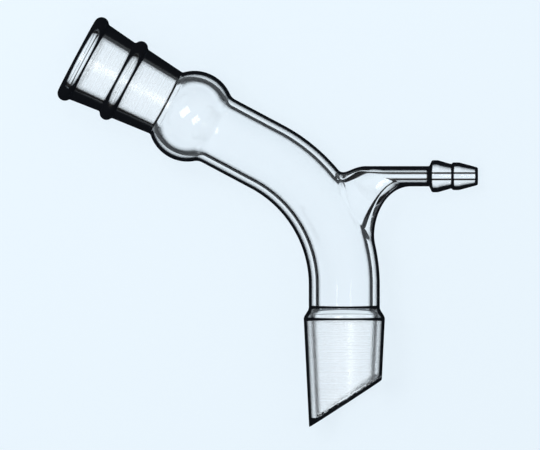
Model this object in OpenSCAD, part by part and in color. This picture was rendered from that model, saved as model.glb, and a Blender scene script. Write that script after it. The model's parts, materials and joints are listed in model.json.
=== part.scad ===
// Bent vacuum take-off adapter, lamp-blown in borosilicate glass as one hollow piece.
// From the top: ground socket with a rolled rim and a reinforcing band, blown bulb,
// bent tube, side arm with a serrated hose nozzle, and ground cone with a slanted tip.
//
// The modules work in the adapter's own frame: the origin at the centre of the cone's
// large end, +Y up the cone's axis to the bend, +X along the side arm, and Z square to
// the plane that halves the adapter. lie_down() then lays it on the floor, +Z up, with
// the origin on the floor under the middle of its box.

/* [Ground cone] */
// Diameter of the cone at its large end
cone_d = 24; // [20:0.5:30]
// Length from the large end to the drip tip
cone_l = 32; // [26:1:40]
// Wall of the cone
cone_wall = 2.3; // [1.6:0.1:2.8]
// Slant of the drip tip's cut, from square across the cone
tip_slant = 33; // [15:1:40]
// Length of the shoulder between the cone and the tube
shoulder_l = 3.5; // [2:0.5:6]

/* [Ground socket] */
// Bore of the socket at its mouth
socket_d = 18.8; // [15:0.1:23]
// Length from the mouth to the bulb
socket_l = 30; // [26:0.5:36]
// Wall of the socket where it meets the bulb
socket_wall = 2.3; // [1.8:0.1:2.8]
// Wall of the socket at its mouth, without the rim
mouth_wall = 3.4; // [2.4:0.1:3.8]
// How far the rolled rim stands out from the socket's wall
rim_proud = 1.1; // [0.8:0.1:2]
// Thickness of the rolled rim, along the socket
rim_t = 4.4; // [3.6:0.1:5.4]
// How far the reinforcing band stands out from the socket's wall
band_proud = 1.5; // [1:0.1:2]
// Width of the reinforcing band, along the socket
band_w = 4.1; // [3.2:0.1:5]
// Distance from the mouth to the middle of the band
band_at = 15.8; // [12:0.2:20]

/* [Bulb] */
// Outside diameter of the bulb
bulb_d = 27.4; // [26:0.2:34]
// Radius of the bulb's outline, from end to end
bulb_r = 11.5; // [10:0.5:13.5]

/* [Tube] */
// Outside diameter of the bent tube
tube_d = 21; // [17.5:0.5:26]
// Wall of the bent tube and of the bulb
tube_wall = 2.2; // [1.6:0.1:2.8]
// Radius of the bend, on the tube's centre line
bend_r = 43; // [36:1:60]
// Angle that the tube turns through
bend_a = 62; // [50:1:80]
// Length from the middle of the bulb to the bend
upper_l = 25.5; // [20:0.5:45]
// Straight length from the bend to the cone's shoulder
lower_l = 6.5; // [3:0.5:30]

/* [Side arm] */
// Height of the arm's axis above the lower end of the bend
arm_rise = 32.2; // [28:0.2:36]
// Length from the cone's axis to the nozzle's tip
arm_l = 39.5; // [32:0.5:70]
// Outside diameter of the arm
arm_d = 6; // [5:0.5:8]
// Bore of the arm and of the nozzle
arm_bore = 2.4; // [1.8:0.1:3]
// How far the arm's root spreads up the bend, from the arm's axis
root_above = 2.6; // [2:0.2:5]
// How far the arm's root spreads down the bend, from the arm's axis
root_below = 22.5; // [16:0.5:26]
// Angle round the tube that the arm's root covers on each side
root_side = 48; // [40:1:55]

/* [Hose nozzle] */
// Length of the nozzle
nozzle_l = 14.8; // [12:0.2:20]
// Diameter over the first serration
first_d = 9.5; // [8.5:0.1:12]
// Diameter over the second serration
second_d = 8.2; // [7.6:0.1:9]
// Diameter of the waist between the serrations
waist_d = 7.2; // [6:0.1:7.5]
// Diameter of the nozzle at its tip
nozzle_tip_d = 5.2; // [4.6:0.1:6]

/* [Hidden] */
$fn = 96;

joint_taper = 10;    // both ground joints lose 1 mm of diameter over this length
arc_step = 6;        // degrees between the points of a turned outline
fillet_r = 0.8;      // fillet where a bead meets the socket's wall
neck_r = 3.5;        // fillet between the bulb and the tube
crest_r = 0.5;       // rounding of a serration's crest and of the nozzle's tip
crest_a = 60;        // how far a serration's crest is rounded towards its back
rim_lap = 0.4;       // how far the rim's outline runs into the socket's bore
end_lap = 1;         // how far the hollow runs out past the drip tip
split_a = 12;        // how much of the bend is turned with the upper limb
lap_a = 2;           // how far the bend's two stretches run into each other
sink = 0.12;         // how deep the foot of the arm's root lies in the bend's wall
bore_step = 0.05;    // how much wider the nozzle's bore is than the root's hollow
bore_lap = 1;        // how far the nozzle's bore runs back into the root's hollow

cone_r = cone_d / 2;
tube_r = tube_d / 2;
arm_r = arm_d / 2;

// Radius of the socket's bore, and of its outside, at a depth below its mouth.
function socket_bore_r(depth) = socket_d / 2 - depth / (2 * joint_taper);
function socket_r(depth) =
    socket_bore_r(depth) + mouth_wall + (socket_wall - mouth_wall) * depth / socket_l;

// The bulb's outline is an arc centred off the axis, and it ends on the socket's edge.
bulb_offset = bulb_d / 2 - bulb_r;
bulb_end_a = acos((socket_r(socket_l) - bulb_offset) / bulb_r);
socket_foot = upper_l + bulb_r * sin(bulb_end_a);
mouth = socket_foot + socket_l;

// The neck's fillet touches both the tube and the bulb.
neck_x = tube_r + neck_r;
neck_a = acos((neck_x - bulb_offset) / (bulb_r + neck_r));
neck_y = upper_l - (bulb_r + neck_r) * sin(neck_a);

// The bend's centre, and the points and directions along the upper limb.
bend_y = shoulder_l + lower_l;
bend_centre = [-bend_r, bend_y, 0];
limb_axis = [-sin(bend_a), cos(bend_a), 0];
limb_foot = bend_centre + bend_r * [cos(bend_a), sin(bend_a), 0];
arm_y = bend_y + arm_rise;

// Depth of the drip tip's side of the cone, and its radius there.
tip_r = cone_r - cone_l / (2 * joint_taper);

function unit(v) = norm(v) > 0 ? v / norm(v) : v;

// ---- outlines ----

// Points on an arc about [x, y], from angle a to angle b.
function arc(x, y, r, a, b) =
    let (n = max(2, ceil(abs(b - a) / arc_step)))
    [for (i = [0:n]) let (t = a + (b - a) * i / n) [x + r * cos(t), y + r * sin(t)]];

// A smooth step in radius from [r0, y0] to [r1, y1], level at both ends.
function step(r0, y0, r1, y1, n = 10) =
    [for (i = [0:n]) let (t = i / n)
        [r0 + (r1 - r0) * (1 - cos(180 * t)) / 2, y0 + (y1 - y0) * t]];

// Angle at a bead's centre between its crest and the fillet's centre.
function bead_a(x, r, wall) = acos((wall + fillet_r - x) / (r + fillet_r));

// The fillet that leads from the wall up to a bead of radius r centred at [x, y].
function bead_lead(x, y, r, wall) =
    let (a = bead_a(x, r, wall))
    arc(wall + fillet_r, y - (r + fillet_r) * sin(a), fillet_r, 180, 180 - a);

// The fillet that leads back from the bead to the wall.
function bead_trail(x, y, r, wall) =
    let (a = bead_a(x, r, wall))
    arc(wall + fillet_r, y + (r + fillet_r) * sin(a), fillet_r, 180 + a, 180);

// One serration of the nozzle: a steep back, a rounded crest and a short land.
function serration(y, back, land, r) = concat(
    arc(r - crest_r, y + back, crest_r, -crest_a, 0),
    [[r, y + back + land]]
);

// ---- upper limb: tube, bulb and ground socket, turned about the limb's axis ----

band_x = socket_r(band_at) + band_proud - band_w / 2;
band_y = mouth - band_at;
band_sweep = bead_a(band_x, band_w / 2, socket_r(band_at));
rim_x = socket_r(rim_t / 2) + rim_proud - rim_t / 2;
rim_y = mouth - rim_t / 2;
rim_sweep = bead_a(rim_x, rim_t / 2, socket_r(rim_t));
rim_roll = 140;      // how far the rim rolls in over the mouth, from straight out

upper_outline = concat(
    [[0, 0]],
    [[tube_r, 0]],
    arc(neck_x, neck_y, neck_r, 180, 180 - neck_a),
    arc(bulb_offset, upper_l, bulb_r, -neck_a, bulb_end_a),
    bead_lead(band_x, band_y, band_w / 2, socket_r(band_at)),
    arc(band_x, band_y, band_w / 2, -band_sweep, band_sweep),
    bead_trail(band_x, band_y, band_w / 2, socket_r(band_at)),
    bead_lead(rim_x, rim_y, rim_t / 2, socket_r(rim_t)),
    arc(rim_x, rim_y, rim_t / 2, -rim_sweep, rim_roll),
    [[socket_d / 2 - rim_lap, rim_y]],
    [[0, rim_y]]
);

// The hollow follows the same arcs, one wall inside.
bore_r = tube_r - tube_wall;
bulb_hollow_r = bulb_r - tube_wall;
upper_hollow_outline = concat(
    [[0, 0]],
    [[bore_r, 0]],
    arc(neck_x, neck_y, neck_r + tube_wall, 180, 180 - neck_a),
    arc(bulb_offset, upper_l, bulb_hollow_r, -neck_a, acos(-bulb_offset / bulb_hollow_r))
);

// Turns an outline about the Y axis: its first number is a radius, its second a height.
module turned(outline) {
    rotate([-90, 0, 0])
    rotate_extrude()
    polygon(outline);
}

// Carries what stands on the bend's centre line at [bend_r, 0] to the bend's upper end.
module on_limb() {
    translate(bend_centre)
    rotate([0, 0, bend_a])
    children();
}

// A stretch of the bend about the origin, up from the X axis.
module bend(r, angle) {
    rotate_extrude(angle = angle)
    translate([bend_r, 0])
    circle(r);
}

// The upper limb with its end of the bend, for an outline and the tube's radius.
module upper_side(outline, r) {
    on_limb()
    union() {
        translate([bend_r, 0, 0]) turned(outline);
        mirror([0, 1, 0]) bend(r, split_a + lap_a);
    }
}

module socket_bore() {
    on_limb()
    translate([bend_r, upper_l, 0])
    rotate([-90, 0, 0])
    cylinder(h = mouth - upper_l, r1 = socket_bore_r(mouth - upper_l), r2 = socket_d / 2);
}

// ---- lower limb: tube, shoulder and ground cone, turned about the cone's axis ----

// Outline of the lower limb, set in by the walls and run on below for the hollow.
function lower_outline(inset_tube, inset_cone, below) = concat(
    [[0, -cone_l - below]],
    [[tip_r - below / (2 * joint_taper) - inset_cone, -cone_l - below]],
    step(cone_r - inset_cone, 0, tube_r - inset_tube, shoulder_l),
    [[tube_r - inset_tube, bend_y]],
    [[0, bend_y]]
);

// The lower limb with the rest of the bend, for an outline and the tube's radius.
module lower_side(outline, r) {
    union() {
        turned(outline);
        translate(bend_centre) bend(r, bend_a - split_a);
    }
}

// The slanted cut leaves the drip tip on the side away from the arm. The block that is
// taken off starts one diameter before the tip, and is wider than the cone every way.
module tip_cut() {
    translate([-tip_r, -cone_l, 0])
    rotate([0, 0, tip_slant])
    translate([-cone_d, -cone_d, -cone_d])
    cube([3 * cone_d, cone_d, 2 * cone_d]);
}

// ---- side arm and hose nozzle, along the X axis at the height of the arm ----

nozzle_x = arm_l - nozzle_l;
first_back = 1.2;    // length of the first serration's steep back
second_back = 0.5;   // length of the second serration's steep back
land = 1.8;          // length of each serration's land
waist_at = 0.47;     // where the waist falls along the nozzle
tip_a = 10;          // where the rounding of the nozzle's tip starts, from straight out

nozzle_outline = concat(
    [[0, 0]],
    [[arm_r - crest_r, 0]],
    serration(0, first_back, land, first_d / 2),
    [[waist_d / 2, nozzle_l * waist_at]],
    serration(nozzle_l * waist_at, second_back, land, second_d / 2),
    arc(nozzle_tip_d / 2 - crest_r, nozzle_l - crest_r, crest_r, tip_a, 90),
    [[0, nozzle_l]]
);

// Carries what stands on the Y axis on to the arm's axis, x from the cone's axis.
module on_arm(x) {
    translate([x, arm_y, 0])
    rotate([0, 0, -90])
    children();
}

// The bore of the arm and the nozzle, from x on.
module arm_bore_from(x) {
    on_arm(x)
    rotate([-90, 0, 0])
    cylinder(h = arm_l - x + bore_lap, r = arm_bore / 2);
}

// ---- blown root of the side arm ----
// A closed skin that flows from the bend's wall into the arm and ends inside the nozzle.
// Its foot is a loop on the bend, an oval in the angles along and round the tube. Each
// line from the foot leaves the bend along its surface, and swings round to run along
// the arm. Lists of three give the values below, beside and above the arm. The hollow's
// skin has its own values, which follow from the outside's and the wall, so that the
// wall keeps about one thickness down the sweep and under the valley above the arm.

root_sides = 36;             // lines round the root
root_rings = 10;             // steps along each line
root_reach = [20, 14, 6.6];  // how far out from the bend the arm is straight
root_pull = [6.5, 4, 3];     // how far each line follows the bend
root_ease = [8.2, 6.5, 4.2]; // how far each line follows the arm
wall_above = -1.2;           // what a wall adds to root_above in the hollow, in walls
wall_below = -1.45;          // and to root_below,
wall_reach = [0, 0, 1];      // root_reach,
wall_pull = [-2, 0, 1];      // root_pull
wall_ease = [-0.5, 0, 0];    // and root_ease

// Blends three values round the root: below at -90, beside at 0 and above at 90 degrees.
function around(a, v) = v[1] * pow(cos(a), 2) + v[sin(a) < 0 ? 0 : 2] * pow(sin(a), 2);

// A point of the bend at radius r and its outward normal, at angles along and round it.
function bend_normal(along, round) =
    [cos(round) * cos(along), cos(round) * sin(along), sin(round)];
function bend_point(r, along, round) =
    bend_centre + bend_r * bend_normal(along, 0) + r * bend_normal(along, round);

function curve(p, t) =
    pow(1 - t, 3) * p[0] + 3 * pow(1 - t, 2) * t * p[1]
    + 3 * (1 - t) * t * t * p[2] + pow(t, 3) * p[3];

// Control points of the root's line at angle a, from a tube of radius r to one of radius
// ra. The wall is zero for the outside.
function root_line(a, r, ra, wall) =
    let (
        outer = bend_r + r,
        arm_a = asin(arm_rise / outer),
        wall_x = bend_centre.x + outer * cos(arm_a),
        high = arm_a + (root_above + wall * wall_above) / outer * 180 / PI,
        low = arm_a - (root_below + wall * wall_below) / outer * 180 / PI,
        along = (high + low) / 2 + (high - low) / 2 * sin(a),
        round = root_side * cos(a),
        foot = bend_point(r - sink, along, round),
        reach_x = wall_x + around(a, root_reach + wall * wall_reach),
        far_x = min(reach_x, nozzle_x - bore_lap),
        far = [far_x, arm_y + ra * sin(a), ra * cos(a)],
        normal = bend_normal(along, round),
        leave = unit(far - foot - ((far - foot) * normal) * normal)
    )
    [foot, foot + around(a, root_pull + wall * wall_pull) * leave,
        far - [around(a, root_ease + wall * wall_ease), 0, 0], far];

// The skin for a tube of radius r and an arm of radius ra, straight on to x at its end.
module arm_root(r, ra, wall, x) {
    n = root_sides;
    lines = [for (i = [0:n - 1]) root_line(360 * i / n, r, ra, wall)];
    curved = [for (j = [0:root_rings]) for (p = lines) curve(p, j / root_rings)];
    edge = [for (p = lines) [x, p[3].y, p[3].z]];
    middles = [bend_point(0, bend_a / 2, 0), [x, arm_y, 0]];
    last = (root_rings + 1) * n;
    polyhedron(
        points = concat(curved, edge, middles),
        faces = concat(
            [for (j = [0:root_rings]) for (i = [0:n - 1]) let (k = (i + 1) % n)
                [j * n + i, j * n + k, (j + 1) * n + k]],
            [for (j = [0:root_rings]) for (i = [0:n - 1]) let (k = (i + 1) % n)
                [j * n + i, (j + 1) * n + k, (j + 1) * n + i]],
            [for (i = [0:n - 1]) [last + n, (i + 1) % n, i]],
            [for (i = [0:n - 1]) [last + n + 1, last + i, last + (i + 1) % n]]
        )
    );
}

// ---- the whole adapter ----

module outside() {
    upper_side(upper_outline, tube_r);
    lower_side(lower_outline(0, 0, 0), tube_r);
    on_arm(nozzle_x) turned(nozzle_outline);
    arm_root(tube_r, arm_r, 0, nozzle_x + first_back);
}

module hollow() {
    upper_side(upper_hollow_outline, bore_r);
    lower_side(lower_outline(tube_wall, cone_wall, end_lap), bore_r);
    socket_bore();
    arm_bore_from(nozzle_x - bore_lap);
    arm_root(bore_r, arm_bore / 2 - bore_step, tube_wall, nozzle_x);
}

// ---- how it lies ----
// The adapter can't stand. It lies on three places: the cone's large end or its drip tip,
// the back of the bend or the nozzle, and the bulb or the socket's rim. Each is a ring
// that has a centre, an axis, the radius of its centre line and that of its section.

cone_end = [[0, 0, 0], [0, 1, 0], cone_r, 0];
drip_tip = [[-tip_r, -cone_l, 0], [0, 1, 0], 0, 0];
bend_back = [bend_centre, [0, 0, 1], bend_r, tube_r];
serration_crest = [[nozzle_x + first_back, arm_y, 0], [1, 0, 0], first_d / 2 - crest_r, crest_r];
nozzle_end = [[arm_l - crest_r, arm_y, 0], [1, 0, 0], nozzle_tip_d / 2 - crest_r, crest_r];
bulb_belly = [limb_foot + upper_l * limb_axis, limb_axis, bulb_offset, bulb_r];
rim_crest = [limb_foot + rim_y * limb_axis, limb_axis, rim_x, rim_t / 2];

feet = [[cone_end, drip_tip], [bend_back, serration_crest], [bulb_belly, rim_crest]];
ends = [drip_tip, cone_end, serration_crest, nozzle_end, bulb_belly, rim_crest];
settle_tries = 8;

// The point of a ring that lies farthest in direction d.
function farthest(ring, d) =
    ring[0] + ring[2] * unit(d - (d * ring[1]) * ring[1]) + ring[3] * d;

// The lower of a foot's two rings, as the point that meets the floor in direction d.
function footing(foot, d) =
    let (a = farthest(foot[0], d), b = farthest(foot[1], d))
    a * d > b * d ? a : b;

// The direction of the floor, square to the plane through the three points that meet it.
function settle(d, tries) =
    tries == 0 ? d :
    let (p = [for (foot = feet) footing(foot, d)])
    settle(unit(cross(p[2] - p[0], p[1] - p[0])), tries - 1);

// How far the adapter reaches from its own origin in direction d.
function reach(d) = max([for (ring = ends) farthest(ring, d) * d]);

down = settle(unit([0.1, 0.1, -1]), settle_tries);
ahead = unit([1, 0, 0] + down.x * -down);
aside = cross(-down, ahead);

module lie_down() {
    multmatrix([
        [each ahead, (reach(-ahead) - reach(ahead)) / 2],
        [each aside, (reach(-aside) - reach(aside)) / 2],
        [each -down, reach(down)]
    ])
    children();
}

// ---- the one piece ----

module adapter() {
    color([0.86, 0.94, 0.97])
    lie_down()
    difference() {
        union() outside();
        union() hollow();
        tip_cut();
    }
}

adapter();
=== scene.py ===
import json
import math

import bmesh
import bpy
import numpy as np
from mathutils import Matrix, Vector


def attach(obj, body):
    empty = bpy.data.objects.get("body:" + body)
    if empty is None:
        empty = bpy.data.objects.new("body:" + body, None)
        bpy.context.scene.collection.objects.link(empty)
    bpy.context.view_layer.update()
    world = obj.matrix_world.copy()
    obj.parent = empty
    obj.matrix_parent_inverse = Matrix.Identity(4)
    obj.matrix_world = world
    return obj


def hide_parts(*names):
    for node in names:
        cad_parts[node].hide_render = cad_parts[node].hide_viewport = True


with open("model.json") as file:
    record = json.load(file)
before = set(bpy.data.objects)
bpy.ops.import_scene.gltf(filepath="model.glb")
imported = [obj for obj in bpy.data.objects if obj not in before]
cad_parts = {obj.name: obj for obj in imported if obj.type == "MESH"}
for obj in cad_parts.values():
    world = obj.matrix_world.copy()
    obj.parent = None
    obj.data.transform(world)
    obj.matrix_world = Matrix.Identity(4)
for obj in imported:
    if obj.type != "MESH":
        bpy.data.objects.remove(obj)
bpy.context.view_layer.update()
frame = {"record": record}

MM = 0.001

# ---- the frame: where the adapter lies, and the sizes that its mounts state ----

mounts = {m["name"]: m for m in frame["record"]["mounts"]}
cone_mount, socket_mount, nozzle_mount = mounts["cone"], mounts["socket"], mounts["hose_nozzle"]

along_arm = Vector(nozzle_mount["axis"]).normalized()
up_cone = -Vector(cone_mount["axis"]).normalized()
square_on = along_arm.cross(up_cone).normalized()
origin = Vector(cone_mount["pos_m"])


def own(point):
    """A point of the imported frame, in the adapter's own frame and in millimetres."""
    v = (Vector(point) - origin) / MM
    return np.array([v.dot(along_arm), v.dot(up_cone), v.dot(square_on)])


arm_l, arm_y, _ = own(nozzle_mount["pos_m"])
socket_mouth = own(socket_mount["pos_m"])
bend_a = up_cone.angle(Vector(socket_mount["axis"]))

# ---- sizes ----

joint_taper = 10             # both ground joints lose 1 mm of diameter over this length

cone_r = cone_mount["dims"]["r_mm"]
cone_ground = cone_mount["dims"]["length_mm"]
cone_l = 32                  # from the large end to the drip tip
cone_wall = 2.3
tip_slant = math.radians(33)
edge_round = 0.45            # rounding of the edges of the drip tip's cut
clear_edge = 1.2             # least width of the clear strip above the cut
shoulder_l = 3.5

socket_mouth_r = socket_mount["dims"]["r_mm"]
socket_l = 30
socket_wall = 2.3            # where the socket meets the bulb,
mouth_wall = 3.4             # and at its mouth
rim_proud = 1.1              # how far the rim stands out from the wall
rim_t = 4.4                  # and its length along the socket
band_proud = 1.5             # the same for the band,
band_w = 4.1
band_at = 15.8               # and how far its middle is from the mouth
fillet_r = 0.8               # fillet where a bead or the bulb meets the socket's wall

bulb_d = 27.4
bulb_r = 11.5                # radius of the bulb's outline,
bulb_offset = bulb_d / 2 - bulb_r    # whose centre lies this far off the tube's axis
neck_r = 3.5                 # fillet between the bulb and the tube

tube_r = 21 / 2
tube_wall = 2.2
bend_r = 43
lower_l = 6.5                # straight length from the bend to the shoulder

arm_rise = arm_y - shoulder_l - lower_l      # height of the arm's axis in the bend
arm_r = 6 / 2
arm_bore_r = 2.4 / 2

root_above = 2.6             # spread of the arm's root up the bend, from the arm's axis,
root_below = 22.5            # down the bend,
root_side = math.radians(48)             # and round the tube, each way
# Below, beside and above the arm: how far out from the bend the root becomes straight,
# how far its lines follow the bend as they leave it, and the arm before they reach it.
root_reach = np.array((20, 14, 6.6))
root_pull = np.array((6.5, 4, 3))
root_ease = np.array((8.2, 6.5, 4.2))
# What the root's hollow adds to each of these but root_side, in walls.
wall_above = -1.2
wall_below = -1.45
wall_reach = np.array((0, 0, 1))
wall_pull = np.array((-2, 0, 1))
wall_ease = np.array((-0.5, 0, 0))
root_clear = 1               # the root ends at least this far before the nozzle

nozzle_l = nozzle_mount["dims"]["length_mm"]
first_r = nozzle_mount["dims"]["r_mm"]
second_r = 8.2 / 2
waist_r = 7.2 / 2
nozzle_tip_r = 5.2 / 2
first_foot = 0.4             # from the nozzle's start to the first serration's foot,
first_crest = 1.2            # its crest,
first_end = 3                # and the end of its land
waist_at = 0.47              # where the waist falls, as a share of the nozzle's length
second_crest = 0.45          # from the waist to the second serration's crest,
second_end = 2.3             # and the end of its land
foot_round = 0.2             # roundings: the first serration's foot and crest,
first_round = 0.45
land_round = 0.4             # the end of either land,
waist_round = 0.25           # the waist,
second_round = 0.3           # the second serration's crest,
tip_round = 0.5              # and the nozzle's tip, outside
bore_round = 0.3             # and inside

# ---- how finely the skin is drawn ----

RING_POINTS = 144
LINE_STEP = 1.1              # length between two rings, on a straight stretch
ARC_STEP = math.radians(5)   # turn between two rings, on an arc
BEND_STEPS = 54
SHOULDER_STEPS = 12
# Where the ground cone has its rings, as shares of its length: close by the large end.
CONE_SHARES = (*np.linspace(1, 0.04, 23), 0.03, 0.02, 0.01)
INNER_CONE_RINGS = 25
CUT_RINGS = 4                # rings in the painted dark line above the drip tip's cut
PAINTED_LINE_STEPS = 6               # steps across any other painted dark line
PATCH_MARGIN = 2             # width of the ring of grid left round the root's foot
FOOT_RINGS = 5               # rings between the bend's grid and the root's foot
ROOT_RINGS = 44
ARM_RINGS = 5
CORNER_STEPS = 5
SAME = 1e-6                  # points nearer than this are one point
CLOSE = 0.04                 # points of an outline need not be nearer than this

# ---- painted shade: where the glass is painted darker than its angle makes it ----
# Painted shade adds to the angle at which a point is seen, so that the edges that bend
# the most light, and glass too slim to show a broad outline, are painted as dark as the rest.

FLANK_PAINTED_SHADE = (0.4, 0.7)       # most painted shade, and half its width: the flanks of a bead,
MOUTH_PAINTED_SHADE = (0.42, 1.9)      # the rim's front,
CORNER_PAINTED_SHADE = (0.7, 0.5)      # the corners of the shoulder,
END_PAINTED_SHADE = (0.7, 0.55)        # the inner end of the socket,
CUT_PAINTED_SHADE = (0.7, 1.3)         # the drip tip's cut,
CREST_PAINTED_SHADE = (0.42, 0.55)     # the serrations' backs,
TIP_PAINTED_SHADE = (0.42, 0.5)        # and the nozzle's tip
BACK_L = 0.3                 # from the nozzle's start, or its waist, to the painted dark line on a back
TIP_L = 0.5                  # from the painted dark line at the nozzle's tip to its end
ARM_PAINTED_SHADE = 0.4                # painted shade all over the arm,
NOZZLE_PAINTED_SHADE = 0.3             # and all over the nozzle
ARM_INNER_PAINTED_SHADE = 0.14         # painted shade in their bore, for light from within the glass
ROOT_INNER_PAINTED_SHADE = 0.06        # what the hollow of the arm's root has besides, half way along
WALL_FROM = 0.58             # painted shade and angle together, at the inside of the socket's wall

# ---- looks ----
# A blend is two stops, each a value and the colour or the share that it gives.

GLASS_IOR = 1.474            # borosilicate
CLEAR_ROUGHNESS = 0.01
GROUND_ROUGHNESS = 0.12
WAVE_SCALE = 90              # waves of the blown glass, to the metre
WAVE_DETAIL = 1
WAVE_STRENGTH = 0.2
MARK_SCALE = 2.4             # marks of grinding, to the millimetre along a joint
GRIT_SCALE = 2200            # grains of the ground surface, to the metre
GRAIN_DETAIL = 3             # detail of both
GRAIN_STRENGTH = 0.25
BUMP_DEPTH = 0.0002
BLOOM = (0.86, 0.90, 0.93)
BLOOM_SHARE = ((0.12, 0.04), (0.4, 0.24))    # a blend by the marks and grains together
# painted shade: near-black matt mixed into the glass at its edges and painted lines
OUTLINE_PAINTED_SHADE = (0.006, 0.007, 0.009)
OUTER_SHARE = ((0.56, 0), (0.64, 1))     # the painted outline shade's share outside, by angle and painted lines,
INNER_SHARE = ((0.205, 0), (0.225, 1))   # and inside
INNER_END = ((0.268, 1), (0.285, 0))     # where that ends again, by the angle alone
EDGE_COLOUR_PAINTED_SHADE = ((0.40, (0.99, 0.995, 1.0)), (0.62, (0.02, 0.025, 0.03)))    # painted shade in the glass's own colour, by angle and painted lines
SHADE = ((0.55, 1), (0.95, (0.35, 0.37, 0.39)))  # of what light comes through, by angle
LEAST_ACROSS = 0.01          # keeps the angle finite on a tube that is seen end on

FIELD = (0.82, 0.918, 0.992)         # the pale blue of the floor and of what lies beyond it
FLOOR_ROUGHNESS = 0.9
FLOOR_HALF = 4.0             # half the floor's width, in metres
SKY = ((0, 0.12), (0.85, 1))         # the dome's light, by how high a direction points
LAMP_SIZE = (0.55, 0.4)
LAMP_POWER = 3.4
LAMP_PLACE = (-0.25, 0.35, 1.1)

SENSOR_W = 36
CAMERA_LENS = 1000
CLIP_END = 20
VIEW_W = 159.6               # width of the view at the adapter's plane of symmetry
VIEW_MIDDLE = (-21.96, 27.79, 0.0)

# ---- places that follow from the sizes ----

round_angle = np.arange(RING_POINTS) * 2 * math.pi / RING_POINTS
round_cos = np.cos(round_angle)
round_sin = np.sin(round_angle)

joint_slope = 1 / (2 * joint_taper)      # what a joint's radius loses over 1 mm
inner_cone_r = cone_r - cone_wall
hollow_r = tube_r - tube_wall
bend_y = shoulder_l + lower_l
bend_centre = np.array([-bend_r, bend_y, 0.0])
limb_axis = np.array([-math.sin(bend_a), math.cos(bend_a), 0.0])
limb_foot = bend_centre + bend_r * np.array([math.cos(bend_a), math.sin(bend_a), 0.0])
mouth = float((socket_mouth - limb_foot) @ limb_axis)
nozzle_x = arm_l - nozzle_l
waist_x = nozzle_x + nozzle_l * waist_at

# ---- outlines: lists of (radius, height) points ----


def mix(a, b, t):
    return a + (b - a) * t


def arc(x, y, r, a, b):
    """Points on an arc about (x, y), from angle a to angle b."""
    n = max(3, math.ceil(abs(b - a) / ARC_STEP))
    return [(x + r * math.cos(t), y + r * math.sin(t)) for t in np.linspace(a, b, n + 1)]


def line(p, q):
    """Points from p to q, both left out."""
    n = max(1, math.ceil(math.dist(p, q) / LINE_STEP))
    return [tuple(np.add(p, np.subtract(q, p) * i / n)) for i in range(1, n)]


def swing(p, corner, q):
    """Points of a curve from p to q that leaves and arrives in line with the corner."""
    p, corner, q = (np.asarray(v, float) for v in (p, corner, q))
    return [
        (1 - t) ** 2 * p + 2 * (1 - t) * t * corner + t**2 * q
        for t in np.linspace(0, 1, CORNER_STEPS + 1)
    ]


def rounded(corners):
    """Points of a broken line whose corners, (radius, height, rounding), are rounded."""
    points = [tuple(corners[0][:2])]
    for before, corner, after in zip(corners, corners[1:], corners[2:]):
        here = np.array(corner[:2], float)
        to, on = np.subtract(here, before[:2]), np.subtract(after[:2], here)
        start = here - to / np.linalg.norm(to) * corner[2]
        end = here + on / np.linalg.norm(on) * corner[2]
        curve = [tuple(p) for p in swing(start, here, end)]
        points += line(points[-1], curve[0]) + curve
    last = tuple(corners[-1][:2])
    return points + line(points[-1], last) + [last]


def joined(*stretches):
    """One outline of several stretches, with straight lines of points between them."""
    points = list(stretches[0])
    for s in stretches[1:]:
        touching = math.dist(points[-1], s[0]) < SAME
        points += s[1:] if touching else line(points[-1], s[0]) + s
    return points


def painted_line(height, ink):
    """A painted dark line at a height: the height, the most painted shade and half the line's
    width.
    """
    return (height, *ink)


def painted_shade_at(height, painted_lines):
    """The painted shade that a list of painted lines gives at a height: full to half way out, then
    less.
    """
    return max([most * min(1, max(0, 2 - 2 * abs(height - at) / half)) for at, most, half in painted_lines])


def with_painted_lines(outline, painted_lines):
    """The outline's points as (radius, height, painted shade), with more of them at each painted
    line.
    """
    steps = np.linspace(-1, 1, PAINTED_LINE_STEPS + 1)
    extra = [at + half * k for at, _, half in painted_lines for k in steps]
    points = [outline[0]]
    for p, q in zip(outline, outline[1:]):
        for h in sorted(extra, reverse=q[1] < p[1]):
            if min(abs(h - points[-1][1]), abs(h - q[1])) > CLOSE and (h - p[1]) * (q[1] - h) > 0:
                t = (h - p[1]) / (q[1] - p[1])
                points.append((mix(p[0], q[0], t), h))
        points.append(q)
    return [(r, h, painted_shade_at(h, painted_lines)) for r, h in points]


def wall_painted_shade(r, bore):
    """The painted shade that paints the wall round a bore dark right through, seen side on."""
    return max(0, WALL_FROM - 1 + math.sqrt(max(0, 1 - (bore / r) ** 2)))


def socket_bore_r(depth):
    return socket_mouth_r - depth / (2 * joint_taper)


def socket_r(depth):
    return socket_bore_r(depth) + mix(mouth_wall, socket_wall, depth / socket_l)


def bead_sweep(x, r, wall):
    """Angle at the centre of a bead of radius r at radius x, up to its fillet to the wall."""
    return math.acos((wall + fillet_r - x) / (r + fillet_r))


def fillet_below(x, y, r, wall):
    """The fillet from the wall up to a bead of radius r about (x, y)."""
    a = bead_sweep(x, r, wall)
    return arc(wall + fillet_r, y - (r + fillet_r) * math.sin(a), fillet_r, math.pi, math.pi - a)


def fillet_above(x, y, r, wall):
    """The fillet from the same bead up to the wall."""
    a = bead_sweep(x, r, wall)
    return arc(wall + fillet_r, y + (r + fillet_r) * math.sin(a), fillet_r, math.pi + a, math.pi)


bulb_y = mouth - socket_l - math.sqrt(bulb_r**2 - (socket_r(socket_l) - bulb_offset) ** 2)
neck_x = tube_r + neck_r
neck_a = math.acos((neck_x - bulb_offset) / (bulb_r + neck_r))
neck_y = bulb_y - (bulb_r + neck_r) * math.sin(neck_a)


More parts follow.
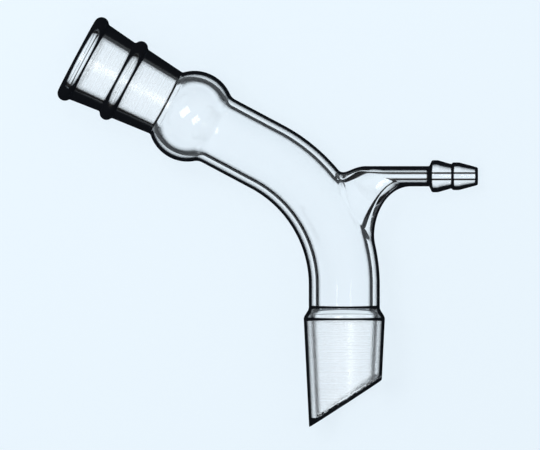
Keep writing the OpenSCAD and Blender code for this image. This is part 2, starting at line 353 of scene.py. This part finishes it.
def limb_outside():
    """The upper limb from its foot to the rim, and over the rim down to the bore."""
    bulb_wall = socket_r(socket_l - fillet_r)
    band = (socket_r(band_at) + band_proud - band_w / 2, mouth - band_at, band_w / 2)
    band_wall = socket_r(band_at)
    band_a = bead_sweep(band[0], band[2], band_wall)
    rim = (socket_r(rim_t / 2) + rim_proud - rim_t / 2, mouth - rim_t / 2, rim_t / 2)
    rim_wall = socket_r(rim_t)
    rim_a = bead_sweep(rim[0], rim[2], rim_wall)
    painted_lines = [
        painted_line(band[1] - band[2] * math.sin(band_a), FLANK_PAINTED_SHADE),
        painted_line(band[1] + band[2] * math.sin(band_a), FLANK_PAINTED_SHADE),
        painted_line(rim[1] - rim[2] * math.sin(rim_a), FLANK_PAINTED_SHADE),
        painted_line(mouth, MOUTH_PAINTED_SHADE),
    ]
    points = with_painted_lines(joined(
        [(tube_r, 0)],
        arc(neck_x, neck_y, neck_r, math.pi, math.pi - neck_a),
        arc(bulb_offset, bulb_y, bulb_r, -neck_a, bead_sweep(bulb_offset, bulb_r, bulb_wall)),
        fillet_above(bulb_offset, bulb_y, bulb_r, bulb_wall),
        fillet_below(*band, band_wall),
        arc(*band, -band_a, band_a),
        fillet_above(*band, band_wall),
        fillet_below(*rim, rim_wall),
        arc(*rim, -rim_a, math.pi - joint_slope),
    ), painted_lines)
    return [
        (r, t, ink if mouth - t > socket_l else max(ink, wall_painted_shade(r, socket_bore_r(mouth - t))))
        for r, t, ink in points
    ]


def limb_inside():
    """The socket's bore below the rim, and the hollow of the bulb and the tube."""
    dome_r = bulb_r - tube_wall
    bore_end = socket_bore_r(socket_l)
    dome_a = bead_sweep(bulb_offset, dome_r, bore_end)
    lip_y = bulb_y + (dome_r + fillet_r) * math.sin(dome_a)
    ends = [painted_line(lip_y, END_PAINTED_SHADE)]
    bore = line((socket_bore_r(rim_t / 2), mouth - rim_t / 2), (bore_end, lip_y))
    hollow = joined(
        arc(bore_end + fillet_r, lip_y, fillet_r, math.pi, math.pi + dome_a),
        arc(bulb_offset, bulb_y, dome_r, dome_a, -neck_a),
        arc(neck_x, neck_y, neck_r + tube_wall, math.pi - neck_a, math.pi),
        [(hollow_r, 0)],
    )
    return with_painted_lines(bore, ends), with_painted_lines(hollow, ends)


def shoulder(tube, cone):
    """The shoulder from the cone's large end up to the tube, level at both ends."""
    steps = np.linspace(0, 1, SHOULDER_STEPS + 1)
    return [(cone + (tube - cone) * (1 - math.cos(math.pi * t)) / 2, shoulder_l * t) for t in steps]


def nozzle_outline():
    """The nozzle from its first serration's back to its tip, and its bore back again."""
    backs = [nozzle_x + BACK_L, waist_x + BACK_L]
    painted_lines = [painted_line(x, CREST_PAINTED_SHADE) for x in backs] + [painted_line(arm_l - TIP_L, TIP_PAINTED_SHADE)]
    return with_painted_lines(rounded([
        (arm_r, nozzle_x, 0),
        (arm_r, nozzle_x + first_foot, foot_round),
        (first_r, nozzle_x + first_crest, first_round),
        (first_r, nozzle_x + first_end, land_round),
        (waist_r, waist_x, waist_round),
        (second_r, waist_x + second_crest, second_round),
        (second_r, waist_x + second_end, land_round),
        (nozzle_tip_r, arm_l, tip_round),
        (arm_bore_r, arm_l, bore_round),
        (arm_bore_r, nozzle_x, 0),
    ]), painted_lines)


# ---- rings: RING_POINTS points round the tube, the first on the back of the bend ----


def lower_ring(r, y):
    """A ring round the cone's axis, at one height or one for each point."""
    return np.stack([r * round_cos, y + 0 * round_cos, r * round_sin], axis=1)


def cone_ring(r, y):
    """The same on a cone of radius r at its large end."""
    return lower_ring(r + y / (2 * joint_taper), y)


def bend_point(r, along, turned):
    """A point at radius r, or many, at angles along the bend and round the tube."""
    out = bend_r + r * np.cos(turned)
    return np.stack(
        [bend_centre[0] + out * np.cos(along), bend_y + out * np.sin(along), r * np.sin(turned)],
        axis=-1,
    )


def upper_ring(r, t):
    """A ring round the upper limb, at a length t above the end of the bend."""
    across = np.outer(r * round_cos, (math.cos(bend_a), math.sin(bend_a), 0))
    return limb_foot + t * limb_axis + across + np.outer(r * round_sin, (0, 0, 1))


class Rings:
    """Rings round the tube in order, each with what the materials read at its points, and
    whether the glass is ground from it to the next."""

    def __init__(self):
        self.rings = []
        self.given = []
        self.ground = []

    def add(self, ring, ground=False, **given):
        self.rings.append(ring)
        self.given.append(given)
        self.ground.append(ground)


# ---- the tube: drip tip, cone, shoulder, bend, bulb and socket ----


def cut_y(r):
    """Height of the slanted cut at each point round a cone of radius r at its large end."""
    slope = math.tan(tip_slant)
    reach = cone_r - cone_l / (2 * joint_taper)
    high = -cone_l + (r * round_cos + reach) * slope
    return high / (1 - slope * round_cos * joint_slope)


cut_out = cut_y(cone_r)
cut_in = cut_y(inner_cone_r)


def add_cone_outside(tube):
    """Up the cone from the edge of the cut, and up the shoulder to the bend."""
    corners = [painted_line(0, CORNER_PAINTED_SHADE), painted_line(shoulder_l, CORNER_PAINTED_SHADE)]
    for up in np.linspace(0, 1, CUT_RINGS + 1)[:-1] * CUT_PAINTED_SHADE[1]:
        ring = cone_ring(cone_r, cut_out + edge_round + up)
        tube.add(ring, ink=painted_shade_at(up, [painted_line(0, CUT_PAINTED_SHADE)]))
    ground_y = np.maximum(-cone_ground, cut_out + clear_edge)
    for share in CONE_SHARES:
        y = ground_y * share
        tube.add(cone_ring(cone_r, y), True, ink=[painted_shade_at(h, corners[:1]) for h in y], along=y)
    rising = joined(shoulder(tube_r, cone_r), [(tube_r, bend_y)])
    for r, y, ink in with_painted_lines(rising, corners)[:-1]:
        tube.add(lower_ring(r, y), ink=ink)


def add_upper_limb(tube):
    """Up the upper limb from the bend, over the rim, and down inside to the bend."""
    turned_in = False
    for r, t, ink in limb_outside():
        turned_in = turned_in or t > mouth - SAME
        tube.add(upper_ring(r, t), turned_in, ink=ink, along=t)
    for outline, ground in zip(limb_inside(), (True, False)):
        for r, t, ink in outline:
            tube.add(upper_ring(r, t), ground, inner_ink=ink, along=t)


def add_cone_inside(tube):
    """Down inside from the bend to the edge of the cut."""
    falling = joined([(hollow_r, bend_y)], shoulder(hollow_r, inner_cone_r)[::-1])
    for r, y in falling[1:]:
        tube.add(lower_ring(r, y))
    edge_y = cut_in + edge_round
    for t in np.linspace(0, 1, INNER_CONE_RINGS + 1)[1:]:
        tube.add(cone_ring(inner_cone_r, mix(0, edge_y + CUT_PAINTED_SHADE[1] / 2, t)))
    tube.add(cone_ring(inner_cone_r, edge_y))


def add_cut(tube):
    """Across the cut, from its inner edge to its outer one, where the rings began."""
    corner_in, corner_out = cone_ring(inner_cone_r, cut_in), cone_ring(cone_r, cut_out)
    across = corner_out - corner_in
    across /= np.linalg.norm(across, axis=1, keepdims=True)
    flat_in, flat_out = corner_in + edge_round * across, corner_out - edge_round * across
    for ring in swing(tube.rings[-1], corner_in, flat_in)[1:]:
        tube.add(ring)
    tube.add(mix(flat_in, flat_out, 0.5))
    edge = swing(flat_out, corner_out, tube.rings[0])[:-1]
    for ring, share in zip(edge, np.linspace(0, 1, len(edge) + 1)):
        tube.add(ring, ink=CUT_PAINTED_SHADE[0] * share)


def tube_rings():
    """All the tube's rings, and the places among them of the two at the bend's foot: the
    outer one, from which they go on up the bend, and the inner one, which ends it."""
    tube = Rings()
    add_cone_outside(tube)
    outer_foot = len(tube.rings)
    for a in np.linspace(0, bend_a, BEND_STEPS + 1)[:-1]:
        tube.add(bend_point(tube_r, a, round_angle))
    add_upper_limb(tube)
    inner_foot = len(tube.rings) - 1 + BEND_STEPS
    for a in np.linspace(bend_a, 0, BEND_STEPS + 1)[1:]:
        tube.add(bend_point(hollow_r, a, round_angle))
    add_cone_inside(tube)
    add_cut(tube)
    return tube, outer_foot, inner_foot


# ---- the side arm ----
# A patch of the bend's grid is left open, and lines run from its edge to the root's oval
# foot, then off the bend along its surface, and swing round to run along the arm.

outer_bend = bend_r + tube_r
foot_high = math.asin(arm_rise / outer_bend) + root_above / outer_bend
foot_low = foot_high - (root_above + root_below) / outer_bend
patch_low = math.floor(foot_low / bend_a * BEND_STEPS) - PATCH_MARGIN
patch_high = math.ceil(foot_high / bend_a * BEND_STEPS) + PATCH_MARGIN
patch_side = math.ceil(root_side / (2 * math.pi) * RING_POINTS) + PATCH_MARGIN


def patch_edge():
    """The places (row of the bend, point of the ring) round the edge of the open patch."""
    top = [(patch_high, c) for c in range(patch_side, -patch_side, -1)]
    left = [(row, -patch_side) for row in range(patch_high, patch_low, -1)]
    bottom = [(patch_low, c) for c in range(-patch_side, patch_side)]
    right = [(row, patch_side) for row in range(patch_low, patch_high)]
    return top + left + bottom + right


edge_places = patch_edge()
edge_along = np.array([row for row, _ in edge_places]) * bend_a / BEND_STEPS
edge_turned = np.array([c for _, c in edge_places]) * 2 * math.pi / RING_POINTS
patch_middle = (edge_along.max() + edge_along.min()) / 2
arm_angle = np.arctan2(
    (edge_along - patch_middle) / (edge_along.max() - patch_middle),
    edge_turned / edge_turned.max(),
)


def around(values):
    """Blends three values, below, beside and above the arm, round the root."""
    below, beside, above = values
    ends = np.where(np.sin(arm_angle) < 0, below, above)
    return beside * np.cos(arm_angle) ** 2 + ends * np.sin(arm_angle) ** 2


def arm_ring(r, x):
    """A ring of the side arm at x, one number or one for each of its points."""
    return np.stack(
        [x + 0 * arm_angle, arm_y + r * np.sin(arm_angle), r * np.cos(arm_angle)], axis=1
    )


def root_rings(r, ra, wall):
    """Rings of the root from the patch's edge to the arm, for a tube of radius r and an
    arm of radius ra, each with how far it belongs to the arm. The wall is zero for the
    outside."""
    outer = bend_r + r
    rise_a = math.asin(arm_rise / outer)
    wall_x = outer * math.cos(rise_a) - bend_r
    high = rise_a + (root_above + wall * wall_above) / outer
    low = rise_a - (root_below + wall * wall_below) / outer
    along = mix(low, high, (1 + np.sin(arm_angle)) / 2)
    turned = root_side * np.cos(arm_angle)
    on_bend = [
        bend_point(r, mix(edge_along, along, t), mix(edge_turned, turned, t))
        for t in np.linspace(0, 1, FOOT_RINGS + 1)[1:]
    ]
    foot = on_bend[-1]
    reach_x = wall_x + around(root_reach + wall * wall_reach)
    far_x = np.minimum(reach_x, nozzle_x - root_clear)
    far = arm_ring(ra, far_x)
    normal = bend_point(1, along, turned) - bend_point(0, along, turned)
    leave = far - foot
    leave -= np.sum(leave * normal, axis=1, keepdims=True) * normal
    leave /= np.linalg.norm(leave, axis=1, keepdims=True)
    pulled = foot + around(root_pull + wall * wall_pull)[:, None] * leave
    eased = far - np.outer(around(root_ease + wall * wall_ease), (1, 0, 0))
    shares = np.linspace(0, 1, ROOT_RINGS + 1)[1:]
    swung = [
        (1 - t) ** 3 * foot + 3 * (1 - t) ** 2 * t * pulled
        + 3 * (1 - t) * t**2 * eased + t**3 * far
        for t in shares
    ]
    straight = [
        arm_ring(ra, mix(far_x, nozzle_x - root_clear / 2, t))
        for t in np.linspace(0, 1, ARM_RINGS + 1)[1:]
    ]
    shares = [0] * len(on_bend) + list(shares) + [1] * len(straight)
    return list(zip(on_bend + swung + straight, shares))


def arm_rings():
    """All the arm's rings in order, out along it to the nozzle's tip and back through its
    bore, each with what the materials read at its points."""
    for ring, share in root_rings(tube_r, arm_r, 0):
        yield ring, {"ink": ARM_PAINTED_SHADE * share, "arm": share}
    for r, x, ink in nozzle_outline():
        inner = ARM_INNER_PAINTED_SHADE if r < arm_bore_r + SAME else 0
        yield arm_ring(r, x), {"ink": NOZZLE_PAINTED_SHADE + ink, "inner_ink": inner, "arm": 1}
    for ring, share in root_rings(hollow_r, arm_bore_r, tube_wall)[::-1]:
        inner = ARM_INNER_PAINTED_SHADE * share + ROOT_INNER_PAINTED_SHADE * math.sin(math.pi * share)
        yield ring, {"ink": ARM_PAINTED_SHADE * share, "inner_ink": inner, "arm": share}


# ---- the whole skin ----


class Skin:
    """Points and faces of the glass, with what the materials read at each point: its
    painted shade, its painted shade for light from within the glass, its place along its
    joint, and how far it belongs to the arm."""

    def __init__(self):
        self.points = np.zeros((0, 3))
        self.values = {name: np.zeros(0) for name in ("ink", "inner_ink", "along", "arm")}
        self.faces = []
        self.ground = []

    def add(self, ring, **given):
        """Adds a ring of points and returns their numbers."""
        first = len(self.points)
        self.points = np.vstack([self.points, ring])
        for name, values in self.values.items():
            new = np.broadcast_to(given.get(name, 0), len(ring))
            self.values[name] = np.append(values, new)
        return np.arange(first, first + len(ring))

    def strip(self, a, b, ground=False, gap=()):
        """Faces between two rings of numbers, all but those at the places in gap."""
        n = len(a)
        for i in sorted(set(range(n)) - set(gap)):
            j = (i + 1) % n
            self.faces.append((a[i], a[j], b[j], b[i]))
            self.ground.append(ground)


def build_skin():
    skin = Skin()
    tube, outer_foot, inner_foot = tube_rings()
    numbers = [skin.add(ring, **given) for ring, given in zip(tube.rings, tube.given)]
    open_strips = {outer_foot + row for row in range(patch_low, patch_high)}
    open_strips |= {inner_foot - row for row in range(patch_low + 1, patch_high + 1)}
    open_places = [c % RING_POINTS for c in range(-patch_side, patch_side)]
    for i, ground in enumerate(tube.ground):
        gap = open_places if i in open_strips else ()
        skin.strip(numbers[i], numbers[(i + 1) % len(numbers)], ground, gap)
    chain = [[numbers[outer_foot + row][c % RING_POINTS] for row, c in edge_places]]
    chain += [skin.add(ring, **given) for ring, given in arm_rings()]
    chain.append([numbers[inner_foot - row][c % RING_POINTS] for row, c in edge_places])
    for a, b in zip(chain, chain[1:]):
        skin.strip(a, b)
    return skin


def place(points):
    """The adapter's own millimetres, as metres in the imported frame."""
    return points * MM @ np.array([along_arm, up_cone, square_on]) + np.array(origin)


def tube_ways(points, arm):
    """The direction of the tube, or of the arm, at each of the skin's points."""
    x, y, _ = (points - bend_centre).T
    turn = np.clip(np.arctan2(y, x), 0, bend_a)
    ways = np.stack([arm - (1 - arm) * np.sin(turn), (1 - arm) * np.cos(turn), 0 * turn], 1)
    ways = place(ways) - place(np.zeros((1, 3)))
    return ways / np.linalg.norm(ways, axis=1)[:, None]


def build_adapter():
    skin = build_skin()
    mesh = bpy.data.meshes.new("adapter_glass")
    mesh.from_pydata(place(skin.points).tolist(), [], np.array(skin.faces).tolist())
    mesh.materials.append(clear_glass())
    mesh.materials.append(ground_glass())
    mesh.polygons.foreach_set("material_index", [int(g) for g in skin.ground])
    mesh.polygons.foreach_set("use_smooth", [True] * len(mesh.polygons))
    shape = bmesh.new()
    shape.from_mesh(mesh)
    bmesh.ops.recalc_face_normals(shape, faces=shape.faces)
    shape.to_mesh(mesh)
    shape.free()
    ways = tube_ways(skin.points, skin.values["arm"])
    mesh.attributes.new("axis", "FLOAT_VECTOR", "POINT").data.foreach_set("vector", ways.ravel())
    for name, values in skin.values.items():
        mesh.attributes.new(name, "FLOAT", "POINT").data.foreach_set("value", values)
    mesh.update()
    piece = bpy.data.objects.new("adapter_glass", mesh)
    bpy.context.scene.collection.objects.link(piece)
    return piece


# ---- nodes ----


def material(name):
    m = bpy.data.materials.new(name)
    m.use_nodes = True
    m.node_tree.nodes.clear()
    return m, m.node_tree.nodes, m.node_tree.links


def blend(nodes, links, value, stops, interpolation="EASE"):
    """A colour or share that changes with a value between two stops, (value, colour)."""
    ramp = nodes.new("ShaderNodeValToRGB")
    ramp.color_ramp.interpolation = interpolation
    for point, (position, colour) in zip(ramp.color_ramp.elements, stops):
        point.position = position
        point.color = (*np.broadcast_to(colour, 3), 1)
    links.new(value, ramp.inputs["Fac"])
    return ramp.outputs["Color"]


def maths(nodes, links, operation, a, b):
    """Two values, each a node's output or a number, taken together."""
    node = nodes.new("ShaderNodeMath")
    node.operation = operation
    for value, socket in zip((a, b), node.inputs):
        if isinstance(value, (int, float)):
            socket.default_value = value
        else:
            links.new(value, socket)
    return node.outputs["Value"]


def facing(nodes, links):
    """How far round the tube the glass is seen, from its middle, 0, to its edge, 1.
    A tube seen along its length has edges no broader than one seen from the side."""
    normal = nodes.new("ShaderNodeLayerWeight")
    axis = nodes.new("ShaderNodeLayerWeight")
    for angle in (normal, axis):
        angle.inputs["Blend"].default_value = 0.5
    along = nodes.new("ShaderNodeAttribute")
    along.attribute_name = "axis"
    links.new(along.outputs["Vector"], axis.inputs["Normal"])
    aslant = axis.outputs["Facing"]
    across = maths(nodes, links, "SUBTRACT", 2, aslant)
    across = maths(nodes, links, "MULTIPLY", across, aslant)
    across = maths(nodes, links, "MAXIMUM", across, LEAST_ACROSS)
    across = maths(nodes, links, "POWER", across, 0.5)
    middle = maths(nodes, links, "SUBTRACT", 1, normal.outputs["Facing"])
    middle = maths(nodes, links, "DIVIDE", middle, across)
    return maths(nodes, links, "MAXIMUM", maths(nodes, links, "SUBTRACT", 1, middle), 0)


def attribute(nodes, name):
    a = nodes.new("ShaderNodeAttribute")
    a.attribute_name = name
    return a.outputs["Fac"]


def seen_and_painted_shade(nodes, links, seen, name="ink"):
    """How far round the tube the glass is seen, and its painted shade of that name, together."""
    return maths(nodes, links, "ADD", seen, attribute(nodes, name))


def noise(nodes, links, scale, detail, where=None):
    """Noise in space, or along one value."""
    texture = nodes.new("ShaderNodeTexNoise")
    texture.inputs["Scale"].default_value = scale
    texture.inputs["Detail"].default_value = detail
    if where is None:
        space = nodes.new("ShaderNodeTexCoord")
        links.new(space.outputs["Object"], texture.inputs["Vector"])
    else:
        texture.noise_dimensions = "1D"
        links.new(where, texture.inputs["W"])
    return texture.outputs["Fac"]


def bump(nodes, links, height, strength):
    b = nodes.new("ShaderNodeBump")
    b.inputs["Strength"].default_value = strength
    b.inputs["Distance"].default_value = BUMP_DEPTH
    links.new(height, b.inputs["Height"])
    return b.outputs["Normal"]


def glass_shader(nodes, links, roughness, seen, normal):
    """Glass that bends the light, with its colour painted dark towards its edge as it is seen:
    painted shade.
    """
    glass = nodes.new("ShaderNodeBsdfPrincipled")
    glass.inputs["Transmission Weight"].default_value = 1
    glass.inputs["IOR"].default_value = GLASS_IOR
    glass.inputs["Roughness"].default_value = roughness
    painted_edge_colour = blend(nodes, links, seen_and_painted_shade(nodes, links, seen), EDGE_COLOUR_PAINTED_SHADE)
    links.new(painted_edge_colour, glass.inputs["Base Color"])
    links.new(normal, glass.inputs["Normal"])
    return glass.outputs["BSDF"]


def matt_shader(nodes, colour):
    matt = nodes.new("ShaderNodeBsdfDiffuse")
    matt.inputs["Color"].default_value = (*colour, 1)
    return matt.outputs["BSDF"]


def mixed(nodes, links, share, a, b):
    choice = nodes.new("ShaderNodeMixShader")
    links.new(share, choice.inputs["Fac"])
    links.new(a, choice.inputs[1])
    links.new(b, choice.inputs[2])
    return choice.outputs["Shader"]


def with_painted_outline(nodes, links, shader, seen, inner_end=None):
    """Glass with near-black matt painted in where it is seen aslant: painted shade, standing in
    for the dark edges of glass before a pale field with dark surroundings. It is painted outside,
    where the glass is met from the air, and inside, where it is met from within the glass.
    Inner_end makes the painted dark inside a line."""
    back = nodes.new("ShaderNodeNewGeometry").outputs["Backfacing"]
    outside = blend(nodes, links, seen_and_painted_shade(nodes, links, seen), OUTER_SHARE)
    outside = maths(nodes, links, "MULTIPLY", outside, maths(nodes, links, "SUBTRACT", 1, back))
    inside = blend(nodes, links, seen_and_painted_shade(nodes, links, seen, "inner_ink"), INNER_SHARE)
    inside = maths(nodes, links, "MULTIPLY", inside, back)
    if inner_end:
        end = blend(nodes, links, seen, inner_end)
        inside = maths(nodes, links, "MULTIPLY", inside, end)
    share = maths(nodes, links, "MAXIMUM", outside, inside)
    return mixed(nodes, links, share, shader, matt_shader(nodes, OUTLINE_PAINTED_SHADE))


def finish_glass(nodes, links, shader, seen):
    """Lets the light on the floor come straight through the glass, shaded by its edges."""
    out = nodes.new("ShaderNodeOutputMaterial")
    clear = nodes.new("ShaderNodeBsdfTransparent")
    links.new(blend(nodes, links, seen, SHADE), clear.inputs["Color"])
    path = nodes.new("ShaderNodeLightPath")
    for kind in ("Is Shadow Ray", "Is Diffuse Ray"):
        shader = mixed(nodes, links, path.outputs[kind], shader, clear.outputs["BSDF"])
    links.new(shader, out.inputs["Surface"])


# ---- materials ----


def clear_glass():
    m, nodes, links = material("clear_glass")
    seen = facing(nodes, links)
    wave = bump(nodes, links, noise(nodes, links, WAVE_SCALE, WAVE_DETAIL), WAVE_STRENGTH)
    shader = glass_shader(nodes, links, CLEAR_ROUGHNESS, seen, wave)
    shader = with_painted_outline(nodes, links, shader, seen, INNER_END)
    finish_glass(nodes, links, shader, seen)
    return m


def ground_glass():
    """Glass with the fine marks of grinding round the joint, and a pale bloom."""
    m, nodes, links = material("ground_glass")
    seen = facing(nodes, links)
    marks = noise(nodes, links, MARK_SCALE, GRAIN_DETAIL, attribute(nodes, "along"))
    grit = noise(nodes, links, GRIT_SCALE, GRAIN_DETAIL)
    grain = bump(nodes, links, maths(nodes, links, "ADD", marks, grit), GRAIN_STRENGTH)
    shader = glass_shader(nodes, links, GROUND_ROUGHNESS, seen, grain)
    bloom = blend(nodes, links, maths(nodes, links, "MULTIPLY", marks, grit), BLOOM_SHARE)
    shader = mixed(nodes, links, bloom, shader, matt_shader(nodes, BLOOM))
    shader = with_painted_outline(nodes, links, shader, seen)
    finish_glass(nodes, links, shader, seen)
    return m


# ---- the floor, the light and the camera ----


def build_floor():
    m, nodes, links = material("pale_floor")
    out = nodes.new("ShaderNodeOutputMaterial")
    matt = nodes.new("ShaderNodeBsdfPrincipled")
    matt.inputs["Base Color"].default_value = (*FIELD, 1)
    matt.inputs["Roughness"].default_value = FLOOR_ROUGHNESS
    matt.inputs["Specular IOR Level"].default_value = 0
    links.new(matt.outputs["BSDF"], out.inputs["Surface"])
    mesh = bpy.data.meshes.new("floor")
    corners = [(x * FLOOR_HALF, y * FLOOR_HALF, 0) for x, y in ((-1, -1), (1, -1), (1, 1), (-1, 1))]
    mesh.from_pydata(corners, [], [(0, 1, 2, 3)])
    mesh.materials.append(m)
    floor = bpy.data.objects.new("floor", mesh)
    bpy.context.scene.collection.objects.link(floor)
    return floor


def build_world():
    """A pale dome that is brightest overhead. The camera, directly or through the glass,
    sees the floor's own colour in its place."""
    world = bpy.data.worlds.new("studio")
    bpy.context.scene.world = world
    world.use_nodes = True
    nodes, links = world.node_tree.nodes, world.node_tree.links
    nodes.clear()
    where = nodes.new("ShaderNodeTexCoord")
    split = nodes.new("ShaderNodeSeparateXYZ")
    links.new(where.outputs["Generated"], split.inputs["Vector"])
    light = nodes.new("ShaderNodeBackground")
    links.new(blend(nodes, links, split.outputs["Z"], SKY, "LINEAR"), light.inputs["Color"])
    field = nodes.new("ShaderNodeBackground")
    field.inputs["Color"].default_value = (*FIELD, 1)
    path = nodes.new("ShaderNodeLightPath").outputs
    seen = maths(nodes, links, "MAXIMUM", path["Is Camera Ray"], path["Is Transmission Ray"])
    dome = mixed(nodes, links, seen, light.outputs["Background"], field.outputs["Background"])
    out = nodes.new("ShaderNodeOutputWorld")
    links.new(dome, out.inputs["Surface"])


def build_lamp():
    light = bpy.data.lights.new("overhead", "AREA")
    light.shape = "RECTANGLE"
    light.size, light.size_y = LAMP_SIZE
    light.energy = LAMP_POWER
    lamp = bpy.data.objects.new("overhead", light)
    lamp.location = LAMP_PLACE
    lamp.rotation_euler = (-lamp.location).to_track_quat("-Z", "Y").to_euler()
    bpy.context.scene.collection.objects.link(lamp)


def build_camera():
    """Square on to the adapter's plane of symmetry, with the cone pointing down."""
    data = bpy.data.cameras.new("camera")
    data.lens = CAMERA_LENS
    data.sensor_width = SENSOR_W
    data.clip_end = CLIP_END
    camera = bpy.data.objects.new("camera", data)
    middle = Vector(place(np.array([VIEW_MIDDLE]))[0])
    distance = VIEW_W * MM * CAMERA_LENS / SENSOR_W
    turn = Matrix((along_arm, up_cone, square_on)).transposed()
    camera.matrix_world = Matrix.Translation(middle + square_on * distance) @ turn.to_4x4()
    bpy.context.scene.collection.objects.link(camera)
    bpy.context.scene.camera = camera


adapter = build_adapter()
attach(adapter, "root")
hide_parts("adapter")
build_floor()
build_world()
build_lamp()
build_camera()

bpy.context.scene.view_settings.view_transform = "Standard"

bpy.context.view_layer.update()
